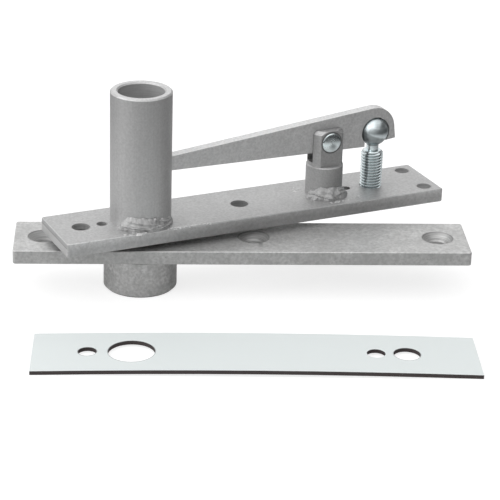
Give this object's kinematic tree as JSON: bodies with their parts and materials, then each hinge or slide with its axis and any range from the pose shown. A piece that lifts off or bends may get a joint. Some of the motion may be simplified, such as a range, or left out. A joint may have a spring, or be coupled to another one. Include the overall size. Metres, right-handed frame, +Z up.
{
  "type": "pivot hinge",
  "caption": "Retractable top pivot hinge for a centre-hung door: a walking beam and ball-ended screw lift the pivot pin out of the door plate's bearing.",
  "frame": {"origin": "on the swing axis, at the underside of the door plate, where the bearing cup leaves it", "axes": "+Z up along the swing axis, from the door into the door frame's head; +X along the frame plate, from the swing axis to the adjusting screw; the door plate is shown turned 21.7 degrees from the frame plate"},
  "size_m": [0.2058, 0.1644, 0.0854],
  "materials": {
    "frame_steel": "plain grey steel, tumbled, satin",
    "tube_steel": "plain grey steel, tumbled, satin",
    "post_steel": "plain grey steel, tumbled, satin",
    "beam_steel": "plain grey steel, sheared edges, satin",
    "weld_metal": "weld bead, plain grey",
    "bright_zinc": "bright zinc plate",
    "pin_steel": "turned and ground",
    "door_steel": "raw bar, mottled and scuffed",
    "cup_steel": "turned, speckled",
    "bush_bronze": "plain bronze bearing",
    "cover_face": "pale satin face, dark edges"
  },
  "bodies": {
    "frame": {"frame_plate": "frame_steel", "tube_housing": "tube_steel", "tube_weld_front": "weld_metal", "tube_weld_rear": "weld_metal", "clevis_post": "post_steel", "post_weld_front": "weld_metal", "post_weld_rear": "weld_metal", "beam_rivet": "bright_zinc", "cover_plate": "cover_face"},
    "door": {"door_plate": "door_steel", "bearing_cup": "cup_steel", "bearing_bush": "bush_bronze"},
    "beam": {"walking_beam": "beam_steel"},
    "pin": {"pivot_pin": "pin_steel"},
    "screw": {"adjusting_screw": "bright_zinc"}
  },
  "joints": [
    {"name": "door_swing", "type": "hinge", "parent": "frame", "child": "door", "pos_m": [0, 0, 0], "axis": [0, 0, 1], "continuous": true},
    {"name": "beam_rock", "type": "hinge", "parent": "frame", "child": "beam", "pos_m": [0.08455, 0, 0.03825], "axis": [0, 1, 0], "range_deg": [0, 8.6]},
    {"name": "pin_slide", "type": "slide", "parent": "frame", "child": "pin", "axis": [0, 0, 1], "range_m": [0, 0.0127]},
    {"name": "screw_travel", "type": "slide", "parent": "frame", "child": "screw", "axis": [0, 0, 1], "range_m": [-0.00344, 0]}
  ],
  "couplings": [
    {"joint": "pin_slide", "follows": "beam_rock", "m_per_rad": 0.08455},
    {"joint": "screw_travel", "follows": "beam_rock", "m_per_rad": -0.0229}
  ]
}
